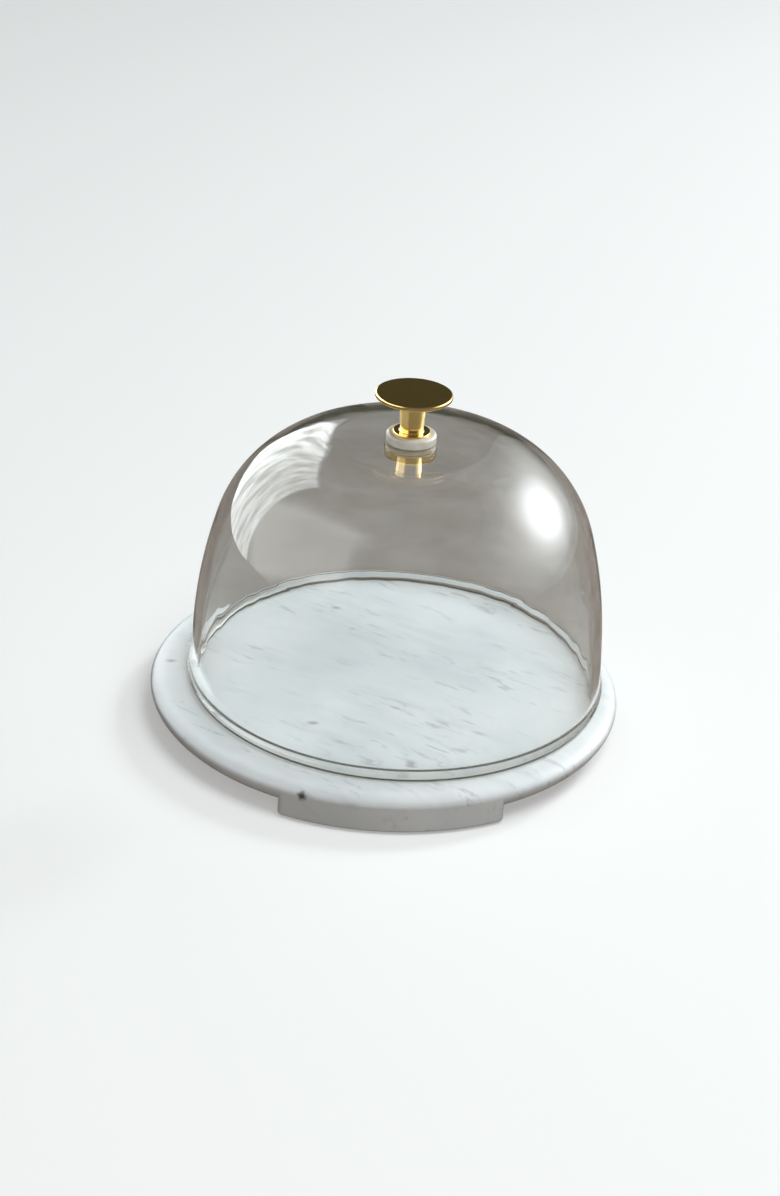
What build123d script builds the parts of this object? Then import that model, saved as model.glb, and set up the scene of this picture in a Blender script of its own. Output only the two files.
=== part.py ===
"""Cheese dome: a glass bell with a brass knob that stands free on a round, footed marble slab.

Sizes are in millimetres. +Z is up, the origin is at the middle of the footprint on the table,
and one foot of the slab faces -Y.
"""

from build123d import *
import os

# ---- Driving sizes -------------------------------------------------------------------------

# Marble slab
slab_radius = 140.0         # at its widest level
top_edge_run = 9.0          # rounding above the widest level: how far in it sweeps
top_edge_rise = 5.5         # and how far up, to the flat top
under_edge_run = 22.0       # the undercut below the widest level: how far in it sweeps
under_edge_drop = 12.5      # and how far down
foot_drop = 3.0             # feet reach this far below the slab's underside
foot_count = 3
foot_span = 55.0            # degrees of the rim that one foot takes up
foot_depth = 32.0           # radial width of a foot
foot_corner_radius = 4.0
foot_edge_radius = 1.5

# Clear pads stuck under the feet
pad_radius = 10.0
pad_thickness = 1.5
pad_edge_chamfer = 0.5

# Glass bell, measured on its outer face
glass_thickness = 4.5
rim_radius = 123.7          # at the middle of the rim bead
wall_lean = 4.0             # degrees that the straight lower wall leans inward
wall_length = 34.0
bell_arcs = [               # (radius, degrees turned) from the wall up to the level crown
    (285.0, 12.6),
    (79.0, 43.4),
    (63.0, 30.0),
]
bead_radius = 3.6           # thickened rim, ground flat where it stands
bead_height = 3.2           # its centre above the ground face
bead_offset = 2.6           # its centre inward of the outer face
bead_blend = 5.0
crown_hole_radius = 6.2

# Where the loose bell, with everything on it, stands from the middle of the slab
bell_right = 6.0
bell_back = 3.0

# Fittings on the bell's axis
washer_radius = 14.6
washer_thickness = 5.5
washer_top_edge = 1.8
washer_bottom_edge = 0.6
collar_radius = 5.9         # the washer's collar keeps the screw off the glass
collar_length = 4.0
gasket_radius = 15.0
gasket_thickness = 1.5
cap_radius = 15.2
cap_thickness = 6.5
cap_bottom_edge = 2.0
cap_top_edge = 0.4

# M6 x 25 countersunk screw
screw_radius = 3.0
screw_length = 25.0
screw_head_radius = 6.0
screw_tip_chamfer = 0.7
socket_across_flats = 4.0
socket_depth = 2.2
screw_clearance = 0.2       # radial, in the washer, the gasket and the cap
thread_clearance = 0.05     # radial, in the knob's blind hole
cone_clearance = 0.1        # between the screw's head and its seat in the cap

# Knob
knob_height = 24.1
knob_disc_radius = 22.2
knob_disc_thickness = 2.6
knob_disc_edge = 0.8
knob_flange_radius = 10.8
knob_flange_thickness = 1.0
knob_flange_edge = 0.4
stem_bottom_radius = 6.6
stem_top_radius = 8.3
stem_flare_radius = 5.0     # sweep from the stem out to the underside of the disc
stem_root_radius = 0.8
knob_hole_depth = 9.0

# ---- Levels that follow from them ------------------------------------------------------------

foot_bottom = pad_thickness
slab_bottom = foot_bottom + foot_drop
widest_level = slab_bottom + under_edge_drop
slab_top = widest_level + top_edge_rise
foot_mid_radius = slab_radius - foot_depth / 2


def ring_edges(builder, height):
    """Circular edges of a part at one height, from the smallest to the largest."""
    rings = builder.edges().filter_by(GeomType.CIRCLE)
    return rings.filter_by_position(Axis.Z, height - 0.01, height + 0.01).sort_by(SortBy.RADIUS)


# ---- Marble slab with its feet ---------------------------------------------------------------

with BuildSketch() as foot_outline:
    with BuildLine():
        outer = CenterArc((0, 0), slab_radius, -foot_span / 2, foot_span)
        inner = CenterArc((0, 0), slab_radius - foot_depth, -foot_span / 2, foot_span)
        Line(outer @ 0, inner @ 0)
        Line(outer @ 1, inner @ 1)
    make_face()
    fillet(foot_outline.vertices(), foot_corner_radius)

with BuildPart() as marble_base:
    with BuildSketch(Plane.XZ):
        with BuildLine():
            underside = Line((0, slab_bottom), (slab_radius - under_edge_run, slab_bottom))
            EllipticalCenterArc(
                (slab_radius - under_edge_run, widest_level),
                under_edge_run,
                under_edge_drop,
                start_angle=-90,
                arc_size=90,
            )
            top_edge = EllipticalCenterArc(
                (slab_radius - top_edge_run, widest_level),
                top_edge_run,
                top_edge_rise,
                start_angle=0,
                arc_size=90,
            )
            top = Line(top_edge @ 1, (0, slab_top))
            Line(top @ 1, underside @ 0)
        make_face()
    revolve(axis=Axis.Z)

    with BuildSketch(Plane.XY.offset(foot_bottom)):
        with PolarLocations(0, foot_count, start_angle=-90):
            add(foot_outline.sketch)
    extrude(amount=widest_level - foot_bottom)
    fillet(marble_base.edges().group_by(Axis.Z)[0], foot_edge_radius)

# ---- Pads under the feet ---------------------------------------------------------------------

with BuildPart() as pad:
    with Locations((foot_mid_radius, 0, 0)):
        Cylinder(pad_radius, pad_thickness, align=(Align.CENTER, Align.CENTER, Align.MIN))
    chamfer(ring_edges(pad, 0), pad_edge_chamfer)

foot_angles = {"pad_front": -90, "pad_right": 30, "pad_left": 150}
pads = {name: pad.part.rotate(Axis.Z, angle) for name, angle in foot_angles.items()}

# ---- Glass bell ------------------------------------------------------------------------------


def draw_bell_side(inset):
    """Draw the bell's side, `inset` inside its outer face, and give its rim and crown ends."""
    inward = Vector(inset, 0).rotate(Axis.Z, 180 + wall_lean)
    side = PolarLine(Vector(rim_radius, bead_height) + inward, wall_length, 90 + wall_lean)
    rim_end = side @ 0
    for radius, turn in bell_arcs:
        side = JernArc(side @ 1, side % 1, radius - inset, turn)
    return rim_end, side @ 1


with BuildPart() as glass_dome:
    with BuildSketch(Plane.XZ) as bell_section:
        with BuildLine():
            outer_rim, outer_crown = draw_bell_side(0)
            inner_rim, inner_crown = draw_bell_side(glass_thickness)
            Line(outer_rim, inner_rim)
            Polyline(outer_crown, (0, outer_crown.Y), (0, inner_crown.Y), inner_crown)
        make_face()
        with Locations((rim_radius - bead_offset, bead_height)):
            Circle(bead_radius)
        bead_joints = bell_section.vertices().filter_by_position(
            Axis.Y, bead_height + 1, bead_height + 2 * bead_radius
        )
        fillet(bead_joints, bead_blend)
        with Locations((rim_radius, 0)):
            Rectangle(
                4 * bead_radius, 2 * bead_radius, align=(Align.CENTER, Align.MAX), mode=Mode.SUBTRACT
            )
    revolve(axis=Axis.Z)
    Hole(crown_hole_radius)

bell_height = glass_dome.part.bounding_box().max.Z
glass_dome.part.position = (0, 0, slab_top)

# ---- Fittings on the bell's axis -------------------------------------------------------------

crown_top = slab_top + bell_height
crown_bottom = crown_top - glass_thickness
cap_top = crown_bottom - gasket_thickness
cap_bottom = cap_top - cap_thickness
knob_bottom = crown_top + washer_thickness
screw_hole_radius = screw_radius + screw_clearance
upward = (Align.CENTER, Align.CENTER, Align.MIN)
downward = (Align.CENTER, Align.CENTER, Align.MAX)

with BuildPart() as seat_washer:
    with Locations((0, 0, crown_top)):
        Cylinder(washer_radius, washer_thickness, align=upward)
        Cylinder(collar_radius, collar_length, align=downward)
    fillet(ring_edges(seat_washer, knob_bottom), washer_top_edge)
    fillet(ring_edges(seat_washer, crown_top)[-1], washer_bottom_edge)
    with Locations((0, 0, knob_bottom)):
        Hole(screw_hole_radius)

with BuildPart() as inner_gasket:
    with Locations((0, 0, cap_top)):
        Cylinder(gasket_radius, gasket_thickness, align=upward)
    with Locations((0, 0, crown_bottom)):
        Hole(screw_hole_radius)

with BuildPart() as inner_cap:
    with Locations((0, 0, cap_bottom)):
        Cylinder(cap_radius, cap_thickness, align=upward)
    fillet(ring_edges(inner_cap, cap_bottom), cap_bottom_edge)
    chamfer(ring_edges(inner_cap, cap_top), cap_top_edge)
    with Locations(Location((0, 0, cap_bottom), (180, 0, 0))):
        CounterSinkHole(
            screw_hole_radius, screw_head_radius + cone_clearance, counter_sink_angle=90
        )

head_height = screw_head_radius - screw_radius

with BuildPart() as knob_screw:
    with BuildSketch(Plane.XZ):
        with BuildLine():
            Polyline(
                (0, cap_bottom),
                (screw_head_radius, cap_bottom),
                (screw_radius, cap_bottom + head_height),
                (screw_radius, cap_bottom + screw_length),
                (0, cap_bottom + screw_length),
                close=True,
            )
        make_face()
    revolve(axis=Axis.Z)
    chamfer(ring_edges(knob_screw, cap_bottom + screw_length), screw_tip_chamfer)
    with BuildSketch(Plane.XY.offset(cap_bottom)):
        RegularPolygon(socket_across_flats / 2, side_count=6, major_radius=False)
    extrude(amount=socket_depth, mode=Mode.SUBTRACT)

# ---- Knob ------------------------------------------------------------------------------------

disc_bottom = knob_bottom + knob_height - knob_disc_thickness
flange_top = knob_bottom + knob_flange_thickness

with BuildPart() as knob:
    with Locations((0, 0, knob_bottom)):
        Cylinder(knob_flange_radius, knob_flange_thickness, align=upward)
    with Locations((0, 0, flange_top)):
        Cone(stem_bottom_radius, stem_top_radius, disc_bottom - flange_top, align=upward)
    with Locations((0, 0, disc_bottom)):
        Cylinder(knob_disc_radius, knob_disc_thickness, align=upward)
    disc_rings = ring_edges(knob, disc_bottom)
    fillet(disc_rings[0], stem_flare_radius)
    fillet(disc_rings[-1], knob_disc_edge)
    fillet(ring_edges(knob, knob_bottom + knob_height), knob_disc_edge)
    flange_rings = ring_edges(knob, flange_top)
    fillet(flange_rings[0], stem_root_radius)
    fillet(flange_rings[-1], knob_flange_edge)
    with Locations(Location((0, 0, knob_bottom), (180, 0, 0))):
        Hole(screw_radius + thread_clearance, depth=knob_hole_depth)

# ---- Stand the bell on the slab and write one file per piece ---------------------------------

bell_pieces = {
    "glass_dome": glass_dome.part,
    "seat_washer": seat_washer.part,
    "inner_gasket": inner_gasket.part,
    "inner_cap": inner_cap.part,
    "knob_screw": knob_screw.part,
    "knob": knob.part,
}
for piece in bell_pieces.values():
    piece.position += Vector(bell_right, bell_back, 0)

pieces = {"marble_base": marble_base.part, **pads, **bell_pieces}
os.makedirs("parts", exist_ok=True)
for name, piece in pieces.items():
    piece.label = name
    export_step(piece, f"parts/{name}.step")
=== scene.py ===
"""Looks of the cheese dome: marble slab, clear glass bell, brass knob and its washers.

Everything is in metres in the CAD frame: +Z is up and one foot of the slab faces -Y.
"""

import math
import bpy
import bmesh
from mathutils import Matrix, Vector
from mathutils.geometry import interpolate_bezier


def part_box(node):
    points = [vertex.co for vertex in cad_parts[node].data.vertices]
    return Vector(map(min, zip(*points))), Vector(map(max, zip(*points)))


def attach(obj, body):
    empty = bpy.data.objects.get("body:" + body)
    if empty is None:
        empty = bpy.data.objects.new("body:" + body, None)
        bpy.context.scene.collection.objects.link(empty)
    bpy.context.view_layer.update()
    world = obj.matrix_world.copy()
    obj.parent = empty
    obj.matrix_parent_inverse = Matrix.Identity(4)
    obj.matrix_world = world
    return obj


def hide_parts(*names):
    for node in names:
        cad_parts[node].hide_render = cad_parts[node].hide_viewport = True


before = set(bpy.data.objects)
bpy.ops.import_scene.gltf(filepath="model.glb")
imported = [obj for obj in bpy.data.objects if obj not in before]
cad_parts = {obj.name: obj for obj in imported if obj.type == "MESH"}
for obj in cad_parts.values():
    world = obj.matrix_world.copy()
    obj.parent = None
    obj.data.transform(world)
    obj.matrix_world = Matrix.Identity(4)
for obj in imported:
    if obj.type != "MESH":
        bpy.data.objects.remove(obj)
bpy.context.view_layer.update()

bell_low, bell_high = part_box("glass_dome")

rim_height = 0.012      # the bell's thick rim bead, and a little above it
painted_shadow_height = 0.020    # foot of the bell's wall, below which the glass's shadow is painted darker, in place of the light that thick glass bends away


# ---- Node helpers ----------------------------------------------------------------------------

def new_material(name):
    """An empty node material with its output, and a maker of nodes for it."""
    material = bpy.data.materials.new(name)
    material.use_nodes = True
    tree = material.node_tree
    tree.nodes.clear()
    output = tree.nodes.new("ShaderNodeOutputMaterial")

    def make(kind, **inputs):
        """Add a node; a keyword sets or links the input of that name, _ standing for a space."""
        node = tree.nodes.new("ShaderNode" + kind)
        for key, value in inputs.items():
            plug(node.inputs[key.replace("_", " ")], value)
        return node

    def plug(socket, value):
        if isinstance(value, bpy.types.NodeSocket):
            tree.links.new(value, socket)
        else:
            socket.default_value = value

    return material, make, plug, output


def mapped(make, rotation=(0, 0, 0), scale=(1, 1, 1)):
    """Object coordinates, turned and then stretched."""
    place = make("TexCoord").outputs["Object"]
    turned = make("Mapping", Vector=place, Rotation=rotation).outputs["Vector"]
    return make("Mapping", Vector=turned, Scale=scale).outputs["Vector"]


def ramp(make, factor, *stops):
    """Colour ramp from (position, colour) stops."""
    node = make("ValToRGB", Fac=factor)
    elements = node.color_ramp.elements
    while len(elements) < len(stops):
        elements.new(0.5)
    for element, (position, colour) in zip(elements, stops):
        element.position = position
        element.color = (*colour, 1) if len(colour) == 3 else colour
    return node.outputs["Color"]


def grey_ramp(make, factor, *stops):
    """Colour ramp between grey levels, from (position, level) stops."""
    return ramp(make, factor, *((position, (level, level, level)) for position, level in stops))


def blend_colours(make, factor, first, second):
    """Mix of two colours."""
    node = make("Mix")
    node.data_type = "RGBA"
    for socket, value in zip((node.inputs[0], node.inputs[6], node.inputs[7]), (factor, first, second)):
        if isinstance(value, bpy.types.NodeSocket):
            node.id_data.links.new(value, socket)
        else:
            socket.default_value = value if isinstance(value, (int, float)) else (*value, 1)
    return node.outputs[2]


def maths(make, operation, first, second=0.0):
    """One arithmetic step."""
    node = make("Math")
    node.operation = operation
    for socket, value in zip(node.inputs, (first, second)):
        if isinstance(value, bpy.types.NodeSocket):
            node.id_data.links.new(value, socket)
        else:
            socket.default_value = value
    return node.outputs["Value"]


def bumps(make, height, strength, distance):
    """Normal from a height pattern."""
    return make("Bump", Height=height, Strength=strength, Distance=distance).outputs["Normal"]


# ---- Materials -------------------------------------------------------------------------------

def marble_material():
    """White marble: soft clouds, short grey streaks all running one way, flecks and one brown spot."""
    material, make, plug, output = new_material("white_marble")
    grain_turn = math.radians(34)
    band_colour = (0.52, 0.55, 0.57)
    stroke_colour = (0.36, 0.37, 0.38)
    fleck_colour = (0.27, 0.26, 0.26)
    spot_colour = (0.035, 0.022, 0.016)
    along = mapped(make, rotation=(0, 0, grain_turn), scale=(0.27, 1.0, 0.8))
    even = mapped(make)

    clouds = make("TexNoise", Vector=even, Scale=11.0, Detail=4.0, Roughness=0.6).outputs["Fac"]
    stone = ramp(
        make,
        clouds,
        (0.32, (0.645, 0.675, 0.695)),
        (0.50, (0.715, 0.74, 0.757)),
        (0.68, (0.775, 0.79, 0.795)),
    )

    def streaks(scale, low, high, lane_scale, lane_low, lane_high):
        """Short grey strokes: the peaks of a stretched noise, kept only inside some patches."""
        field = make("TexNoise", Vector=along, Scale=scale, Detail=3.0, Roughness=0.6, Distortion=0.25)
        stroke = grey_ramp(make, field.outputs["Fac"], (low, 0.0), (high, 1.0))
        lanes = make("TexNoise", Vector=along, Scale=lane_scale, Detail=2.0, Roughness=0.5)
        kept = grey_ramp(make, lanes.outputs["Fac"], (lane_low, 0.0), (lane_high, 1.0))
        return maths(make, "MULTIPLY", stroke, kept)

    bands = streaks(scale=60.0, low=0.45, high=0.66, lane_scale=20.0, lane_low=0.38, lane_high=0.58)
    strokes = streaks(scale=210.0, low=0.55, high=0.68, lane_scale=42.0, lane_low=0.47, lane_high=0.60)
    banded = blend_colours(make, maths(make, "MULTIPLY", bands, 0.30), stone, band_colour)
    veined = blend_colours(make, maths(make, "MULTIPLY", strokes, 0.55), banded, stroke_colour)

    flecks = make("TexVoronoi", Vector=mapped(make, scale=(0.6, 1.0, 1.0)), Scale=46.0, Randomness=1.0)
    fleck_shape = grey_ramp(make, flecks.outputs["Distance"], (0.04, 1.0), (0.13, 0.0))
    patches = make("TexNoise", Vector=even, Scale=31.0).outputs["Fac"]
    fleck_choice = grey_ramp(make, patches, (0.56, 0.0), (0.64, 1.0))
    fleck = maths(make, "MULTIPLY", maths(make, "MULTIPLY", fleck_shape, fleck_choice), 0.65)
    flecked = blend_colours(make, fleck, veined, fleck_colour)

    # Brown inclusion at the left of the front foot, with a ragged edge
    spot_place = Vector((-0.0505, -0.1306, 0.0178))
    spot_reach = 0.010
    spot_raggedness = 0.003
    away = make("VectorMath", Vector=even)
    away.operation = "SUBTRACT"
    away.inputs[1].default_value = spot_place
    wobble = make("TexNoise", Vector=even, Scale=420.0, Detail=3.0).outputs["Fac"]
    reach = make("VectorMath", Vector=away.outputs["Vector"])
    reach.operation = "LENGTH"
    ragged = maths(make, "ADD", reach.outputs["Value"], maths(make, "MULTIPLY", wobble, spot_raggedness))
    outward = maths(make, "MULTIPLY", ragged, 1 / spot_reach)
    inside = grey_ramp(make, outward, (0.24, 1.0), (0.50, 0.0))
    coloured = blend_colours(make, maths(make, "MULTIPLY", inside, 0.92), flecked, spot_colour)

    crystals = make("TexNoise", Vector=even, Scale=700.0, Detail=2.0, Roughness=0.6).outputs["Fac"]
    waves = make("TexNoise", Vector=even, Scale=45.0, Detail=2.0).outputs["Fac"]
    finish = grey_ramp(make, waves, (0.3, 0.30), (0.7, 0.40))
    surface = make(
        "BsdfPrincipled",
        Base_Color=coloured,
        Roughness=finish,
        Specular_IOR_Level=0.3,
        Subsurface_Weight=0.12,
        Subsurface_Radius=(0.9, 0.8, 0.7),
        Subsurface_Scale=0.004,
        Normal=bumps(make, crystals, 0.06, 0.0004),
    )
    plug(output.inputs["Surface"], surface.outputs["BSDF"])
    return material


def glass_material():
    """Clear glass, faintly cool and as wavy as blown glass; lamps shine through, least near its rim,
    where the glass's shadow is painted darker.
    """
    material, make, plug, output = new_material("clear_glass")
    place = mapped(make, scale=(1, 1, 0.45))
    waves = make("TexNoise", Vector=place, Scale=26.0, Detail=2.0, Roughness=0.45).outputs["Fac"]
    haze = make("TexNoise", Vector=place, Scale=60.0, Detail=3.0).outputs["Fac"]
    wall_tint = ramp(make, haze, (0.35, (0.972, 0.988, 0.990)), (0.65, (0.988, 0.997, 0.998)))
    height = make("SeparateXYZ", Vector=mapped(make)).outputs["Z"]
    height_on_bell = maths(make, "SUBTRACT", height, bell_low.z)
    above_rim = maths(make, "MULTIPLY", height_on_bell, 1 / rim_height)
    above_foot = maths(make, "MULTIPLY", height_on_bell, 1 / painted_shadow_height)
    in_rim = grey_ramp(make, above_rim, (0.55, 1.0), (0.95, 0.0))
    rim_tint = (0.88, 0.875, 0.85)
    tint = blend_colours(make, in_rim, wall_tint, rim_tint)
    glass = make(
        "BsdfPrincipled",
        Base_Color=tint,
        Roughness=0.0,
        IOR=1.5,
        Transmission_Weight=1.0,
        Normal=bumps(make, waves, 0.10, 0.004),
    )
    # Painted shadow: shadow rays pass the glass darker near the foot of its wall, in place of the light
    # that thick glass bends away.
    painted_shadow_let_through = ramp(make, above_foot, (0.30, (0.50, 0.47, 0.43)), (0.85, (0.98, 0.985, 0.982)))
    open_way = make("BsdfTransparent", Color=painted_shadow_let_through)
    mix = make("MixShader")
    plug(mix.inputs[0], make("LightPath").outputs["Is Shadow Ray"])
    plug(mix.inputs[1], glass.outputs["BSDF"])
    plug(mix.inputs[2], open_way.outputs["BSDF"])
    plug(output.inputs["Surface"], mix.outputs["Shader"])
    return material


def turned_metal(name, colour, worn_colour, low_roughness, high_roughness):
    """Polished metal turned on a lathe: faint rings, and handling marks that dull it in patches."""
    material, make, plug, output = new_material(name)
    place = mapped(make)
    smudges = make("TexNoise", Vector=place, Scale=90.0, Detail=4.0, Roughness=0.6).outputs["Fac"]
    tone = ramp(make, smudges, (0.35, colour), (0.75, worn_colour))
    dulling = grey_ramp(make, smudges, (0.40, low_roughness), (0.72, high_roughness))

    parts = make("SeparateXYZ", Vector=place)
    radius_squared = maths(
        make,
        "ADD",
        maths(make, "POWER", parts.outputs["X"], 2.0),
        maths(make, "POWER", parts.outputs["Y"], 2.0),
    )
    radius = maths(make, "SQRT", radius_squared)
    lathe_place = make("CombineXYZ", X=radius, Z=parts.outputs["Z"]).outputs["Vector"]
    rings = make("TexNoise", Vector=lathe_place, Scale=3200.0, Detail=1.0).outputs["Fac"]
    surface = make(
        "BsdfPrincipled",
        Base_Color=tone,
        Metallic=1.0,
        Roughness=dulling,
        Normal=bumps(make, rings, 0.05, 0.0001),
    )
    plug(output.inputs["Surface"], surface.outputs["BSDF"])
    return material


def milky_material(name, colour, deep_colour, roughness, see_through, cloudiness):
    """Moulded translucent plastic or silicone with a cloudy body and a fine moulded skin."""
    material, make, plug, output = new_material(name)
    place = mapped(make)
    clouds = make("TexNoise", Vector=place, Scale=160.0, Detail=3.0).outputs["Fac"]
    tone = ramp(make, clouds, (0.35, deep_colour), (0.65, colour))
    skin = make("TexNoise", Vector=place, Scale=1800.0, Detail=2.0).outputs["Fac"]
    surface = make(
        "BsdfPrincipled",
        Base_Color=tone,
        Roughness=roughness,
        IOR=1.45,
        Transmission_Weight=see_through,
        Subsurface_Weight=cloudiness,
        Subsurface_Radius=(1.0, 0.85, 0.7),
        Subsurface_Scale=0.002,
        Normal=bumps(make, skin, 0.12, 0.0002),
    )
    plug(output.inputs["Surface"], surface.outputs["BSDF"])
    return material


def finish_nodes(material, *nodes):
    """Give a material to CAD nodes."""
    for node in nodes:
        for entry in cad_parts[node].material_slots:
            entry.material = material


marble = marble_material()
glass = glass_material()
brass = turned_metal(
    "polished_brass",
    colour=(0.80, 0.575, 0.225),
    worn_colour=(0.70, 0.49, 0.18),
    low_roughness=0.05,
    high_roughness=0.13,
)
steel = turned_metal(
    "stainless_steel",
    colour=(0.62, 0.62, 0.61),
    worn_colour=(0.52, 0.52, 0.51),
    low_roughness=0.22,
    high_roughness=0.34,
)
washer_plastic = milky_material(
    "milky_washer",
    colour=(0.90, 0.86, 0.78),
    deep_colour=(0.80, 0.74, 0.64),
    roughness=0.25,
    see_through=0.0,
    cloudiness=0.35,
)
pad_silicone = milky_material(
    "clear_silicone",
    colour=(0.97, 0.95, 0.90),
    deep_colour=(0.93, 0.90, 0.84),
    roughness=0.12,
    see_through=0.95,
    cloudiness=0.0,
)
# Clear silicone; its amber colour is painted, standing in for the gold of the brass cap showing through
# it.
gasket_painted_gold = milky_material(
    "silicone_painted_gold",
    colour=(0.93, 0.80, 0.52),
    deep_colour=(0.85, 0.70, 0.42),
    roughness=0.20,
    see_through=0.55,
    cloudiness=0.0,
)

finish_nodes(marble, "marble_base")
finish_nodes(brass, "knob", "inner_cap")
finish_nodes(steel, "knob_screw")
finish_nodes(washer_plastic, "seat_washer")
finish_nodes(gasket_painted_gold, "inner_gasket")
finish_nodes(pad_silicone, "pad_front", "pad_right", "pad_left")


# ---- Glass bell ------------------------------------------------------------------------------

# The CAD bell's own sizes, drawn again so that its faces run smoothly round the axis
bell_axis = (bell_low + bell_high) / 2
bell_turns = 256
glass_thickness = 0.0045
rim_radius = 0.1237
wall_lean = math.radians(4)
wall_length = 0.034
bell_arcs = [(0.285, 12.6), (0.079, 43.4), (0.063, 30.0)]
bead_radius = 0.0036
bead_height = 0.0032
bead_offset = 0.0026
blend_height = 0.0105       # where the wall leaves the rim bead
outer_bead_end = 35         # degrees round the bead where each side turns up into the wall
inner_bead_end = 130
blend_firmness = 2.5        # how many times a blend's handle goes into the gap that it crosses
bead_steps = 14
blend_points = 9
flat_steps = 4
crown_hole_radius = 0.0062
sharp_angle = math.radians(35)


def bell_side(inset):
    """Points up the bell's side, `inset` inside its outer face, from the bead's blend to the crown."""
    along_wall = Vector((-math.sin(wall_lean), math.cos(wall_lean)))
    inward = Vector((-math.cos(wall_lean), -math.sin(wall_lean)))
    foot = Vector((rim_radius, bead_height)) + inward * inset
    first = foot + along_wall * ((blend_height - foot.y) / along_wall.y)
    top_of_wall = foot + along_wall * wall_length
    points = [first.lerp(top_of_wall, step / flat_steps) for step in range(flat_steps + 1)]
    heading = math.pi / 2 + wall_lean
    for radius, degrees in bell_arcs:
        steps = math.ceil(degrees)
        turn = math.radians(degrees) / steps
        chord = 2 * (radius - inset) * math.sin(turn / 2)
        for _ in range(steps):
            middle = heading + turn / 2
            points.append(points[-1] + chord * Vector((math.cos(middle), math.sin(middle))))
            heading += turn
    return points


def bead_side(first_degrees, last_degrees, wall_point):
    """Points round one side of the bead and through a smooth blend to the wall."""
    centre = Vector((rim_radius - bead_offset, bead_height))
    points = []
    for step in range(bead_steps + 1):
        angle = math.radians(first_degrees + (last_degrees - first_degrees) * step / bead_steps)
        points.append(centre + bead_radius * Vector((math.cos(angle), math.sin(angle))))
    leaving = (points[-1] - points[-2]).normalized()
    arriving = Vector((-math.sin(wall_lean), math.cos(wall_lean)))
    pull = (wall_point - points[-1]).length / blend_firmness
    handles = (points[-1], points[-1] + leaving * pull, wall_point - arriving * pull, wall_point)
    points += interpolate_bezier(*handles, blend_points)[1:-1]
    return points


def bell_outline():
    """Closed outline of the glass: up the outer face, down through the hole and the inner face."""
    ground_degrees = math.degrees(math.asin(bead_height / bead_radius))
    outer = bell_side(0)
    inner = bell_side(glass_thickness)
    outer_rim = bead_side(-ground_degrees, outer_bead_end, outer[0])
    inner_rim = bead_side(180 + ground_degrees, inner_bead_end, inner[0])
    outer_hole = Vector((crown_hole_radius, outer[-1].y))
    inner_hole = Vector((crown_hole_radius, inner[-1].y))
    crown = [outer[-1].lerp(outer_hole, step / flat_steps) for step in range(1, flat_steps + 1)]
    ceiling = [inner_hole.lerp(inner[-1], step / flat_steps) for step in range(flat_steps)]
    return outer_rim + outer + crown + ceiling + inner[::-1] + inner_rim[::-1]


def make_bell():
    """The glass bell, turned about its own axis."""
    shape = bmesh.new()
    rings = []
    for point in bell_outline():
        ring = []
        for step in range(bell_turns):
            angle = math.tau * step / bell_turns
            x = bell_axis.x + point.x * math.cos(angle)
            y = bell_axis.y + point.x * math.sin(angle)
            ring.append(shape.verts.new((x, y, bell_low.z + point.y)))
        rings.append(ring)
    for ring, following in zip(rings, rings[1:] + rings[:1]):
        for here, there in zip(range(-1, bell_turns - 1), range(bell_turns)):
            shape.faces.new((ring[here], ring[there], following[there], following[here]))
    bmesh.ops.recalc_face_normals(shape, faces=shape.faces)
    for face in shape.faces:
        face.smooth = True
    for edge in shape.edges:
        edge.smooth = edge.calc_face_angle() < sharp_angle
    mesh = bpy.data.meshes.new("glass_bell")
    shape.to_mesh(mesh)
    shape.free()
    bell = bpy.data.objects.new("glass_bell", mesh)
    bpy.context.scene.collection.objects.link(bell)
    mesh.materials.append(glass)
    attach(bell, "dome")
    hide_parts("glass_dome")


make_bell()


# ---- Floor, light and camera -----------------------------------------------------------------

floor_width = 12.0
floor_colour = (0.62, 0.62, 0.617)
backdrop_colour = (0.34, 0.34, 0.337)   # also lifts the floor's shade, as light from all round would


def floor_material():
    """Pale to look at; to everything it lights, and through the glass, a grey-brown table top."""
    material, make, plug, output = new_material("table_top")
    place = mapped(make)
    mottle = make("TexNoise", Vector=place, Scale=14.0, Detail=6.0, Roughness=0.62).outputs["Fac"]
    table = ramp(make, mottle, (0.3, (0.255, 0.213, 0.180)), (0.7, (0.370, 0.318, 0.282)))
    seen = make("AddShader")
    plug(seen.inputs[0], make("BsdfDiffuse", Color=(*floor_colour, 1)).outputs["BSDF"])
    plug(seen.inputs[1], make("Emission", Color=(*backdrop_colour, 1)).outputs["Emission"])
    around = make("BsdfDiffuse", Color=table)
    mix = make("MixShader")
    plug(mix.inputs[0], make("LightPath").outputs["Is Camera Ray"])
    plug(mix.inputs[1], around.outputs["BSDF"])
    plug(mix.inputs[2], seen.outputs["Shader"])
    plug(output.inputs["Surface"], mix.outputs["Shader"])
    return material


def direction(azimuth, elevation):
    """Unit vector; azimuth is in degrees from -Y, where the camera is, towards +X."""
    a = math.radians(azimuth)
    e = math.radians(elevation)
    return Vector((math.sin(a) * math.cos(e), -math.cos(a) * math.cos(e), math.sin(e)))


light_aim = Vector((0, 0, 0.10))


def flat_sheet(name, width, height):
    """A flat rectangle, facing +Z, that belongs to the stage."""
    mesh = bpy.data.meshes.new(name)
    grid = bmesh.new()
    bmesh.ops.create_grid(grid, x_segments=1, y_segments=1, size=0.5)
    bmesh.ops.scale(grid, vec=(width, height, 1), verts=grid.verts)
    grid.to_mesh(mesh)
    grid.free()
    sheet = bpy.data.objects.new(name, mesh)
    bpy.context.scene.collection.objects.link(sheet)
    return sheet


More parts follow.
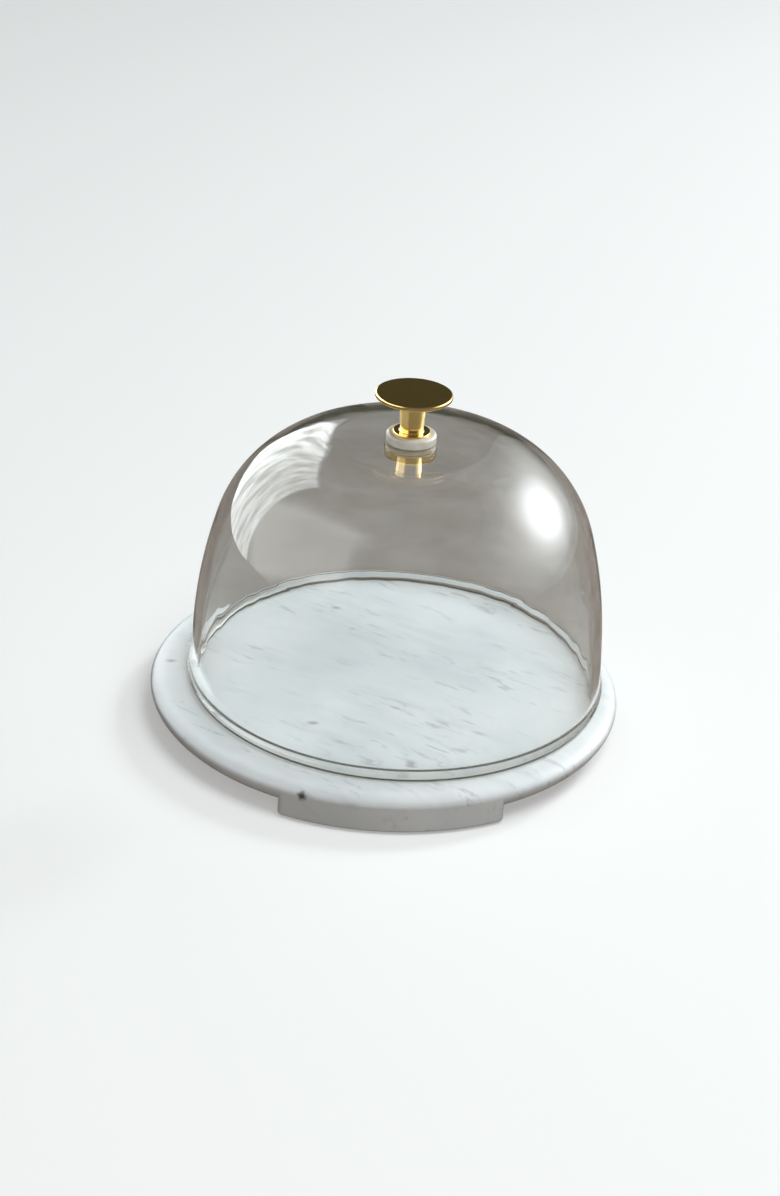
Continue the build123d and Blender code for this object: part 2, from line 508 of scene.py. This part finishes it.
def window_material(name, width, height, strength, colour, core, folds, rounded):
    """Light that is full inside `core` of the window's half size and fades out to its edge."""
    material, make, plug, output = new_material(name)
    place = mapped(make, scale=(2 / width, 2 / height, 1))
    if rounded:
        distance = make("VectorMath", Vector=place)
        distance.operation = "LENGTH"
        reach = distance.outputs["Value"]
    else:
        sides = make("SeparateXYZ", Vector=place)
        across = maths(make, "ABSOLUTE", sides.outputs["X"])
        reach = maths(make, "MAXIMUM", across, maths(make, "ABSOLUTE", sides.outputs["Y"]))
    fade = grey_ramp(make, reach, (core, 1.0), (core + (1 - core) / 2, 0.28), (1.0, 0.0))
    if rounded:
        fade.node.color_ramp.interpolation = "B_SPLINE"
    curtain = make("TexNoise", Vector=mapped(make, scale=(5.0, 1.2, 1.0)), Scale=1.5, Detail=3.0)
    level = grey_ramp(make, curtain.outputs["Fac"], (0.35, 1.0 - folds), (0.60, 1.0))
    power = maths(make, "MULTIPLY", maths(make, "MULTIPLY", fade, level), strength)
    both = make("AddShader")
    plug(both.inputs[0], make("Emission", Color=(*colour, 1), Strength=power).outputs["Emission"])
    plug(both.inputs[1], make("BsdfTransparent").outputs["BSDF"])
    plug(output.inputs["Surface"], both.outputs["Shader"])
    return material


def window(name, azimuth, elevation, distance, size, strength, colour, core, folds=0.0, turn=None):
    """A soft bright area that faces the object and only shows in reflections; round unless turned."""
    rounded = turn is None
    sheet = flat_sheet(name, *size)
    sheet.data.materials.append(window_material(name, *size, strength, colour, core, folds, rounded))
    toward = direction(azimuth, elevation)
    sheet.location = light_aim + toward * distance
    facing = toward.to_track_quat("Z", "Y").to_matrix() @ Matrix.Rotation(math.radians(turn or 0), 3, "Z")
    sheet.rotation_euler = facing.to_euler()
    sheet.visible_camera = False
    sheet.visible_diffuse = False
    sheet.visible_transmission = False
    sheet.visible_shadow = False


def lamp(name, azimuth, elevation, distance, size, power, colour):
    """A soft lamp that lights the object and shows in no reflection."""
    data = bpy.data.lights.new(name, "AREA")
    data.size = size
    data.energy = power
    data.color = colour
    light = bpy.data.objects.new(name, data)
    bpy.context.scene.collection.objects.link(light)
    toward = direction(azimuth, elevation)
    light.location = light_aim + toward * distance
    light.rotation_euler = toward.to_track_quat("Z", "Y").to_euler()
    light.visible_glossy = False
    light.visible_transmission = False


def make_world():
    """A dim room, darkest behind the object; seen directly, it is the plain grey of the backdrop."""
    world = bpy.data.worlds.new("room")
    world.use_nodes = True
    bpy.context.scene.world = world
    tree = world.node_tree
    way = tree.nodes.new("ShaderNodeTexCoord")
    split = tree.nodes.new("ShaderNodeSeparateXYZ")
    tree.links.new(way.outputs["Generated"], split.inputs["Vector"])
    shade = tree.nodes.new("ShaderNodeValToRGB")
    stretch = tree.nodes.new("ShaderNodeMapRange")
    stretch.inputs["From Min"].default_value = -1.0
    tree.links.new(split.outputs["Y"], stretch.inputs["Value"])
    tree.links.new(stretch.outputs["Result"], shade.inputs["Fac"])
    front, back = shade.color_ramp.elements
    front.position = 0.45
    front.color = (0.195, 0.21, 0.225, 1)
    back.position = 0.80
    back.color = (0.075, 0.075, 0.055, 1)
    seen = tree.nodes.new("ShaderNodeMix")
    seen.data_type = "RGBA"
    path = tree.nodes.new("ShaderNodeLightPath")
    tree.links.new(path.outputs["Is Camera Ray"], seen.inputs[0])
    tree.links.new(shade.outputs["Color"], seen.inputs[6])
    seen.inputs[7].default_value = (*backdrop_colour, 1)
    surface = tree.nodes["Background"]
    tree.links.new(seen.outputs[2], surface.inputs["Color"])


def make_camera():
    """Camera at the photograph's angle; the roll lets the object lean a little to the right."""
    aim = Vector((0, 0, 0.0745))
    distance = 1.4127
    toward = direction(azimuth=-4.0, elevation=27.83)
    roll = Matrix.Rotation(math.radians(3.94), 4, "Z")
    data = bpy.data.cameras.new("camera")
    data.sensor_width = 36
    data.lens = 71.95
    camera = bpy.data.objects.new("camera", data)
    bpy.context.scene.collection.objects.link(camera)
    place = Matrix.Translation(aim + toward * distance)
    camera.matrix_world = place @ toward.to_track_quat("Z", "Y").to_matrix().to_4x4() @ roll
    bpy.context.scene.camera = camera


floor = flat_sheet("floor", floor_width, floor_width)
floor.data.materials.append(floor_material())
make_world()
day_light = (0.94, 0.995, 1.0)
warm_light = (1.0, 0.86, 0.70)
lamp("top_lamp", azimuth=50, elevation=68, distance=2.2, size=1.2, power=30, colour=day_light)
lamp("key_lamp", azimuth=130, elevation=34, distance=3.0, size=0.7, power=42, colour=day_light)
lamp("front_fill", azimuth=-5, elevation=20, distance=2.6, size=1.6, power=8.5, colour=warm_light)
window(
    "key_window",
    azimuth=115,
    elevation=27,
    distance=1.6,
    size=(1.50, 1.35),
    strength=10.0,
    colour=(0.93, 0.99, 1.0),
    core=0.30,
)
window(
    "key_glow",
    azimuth=112,
    elevation=26,
    distance=2.2,
    size=(5.4, 2.8),
    strength=7.0,
    colour=(0.95, 0.99, 1.0),
    core=0.05,
)
window(
    "left_window",
    azimuth=-140,
    elevation=13,
    distance=1.8,
    size=(1.9, 2.4),
    strength=6.0,
    colour=(0.95, 1.0, 1.0),
    core=0.93,
    folds=0.6,
    turn=30,
)
window(
    "left_board",
    azimuth=-80,
    elevation=30,
    distance=2.2,
    size=(4.0, 2.7),
    strength=2.9,
    colour=(0.98, 1.0, 0.99),
    core=0.62,
    turn=29,
)
make_camera()
bpy.context.scene.view_settings.view_transform = "Standard"
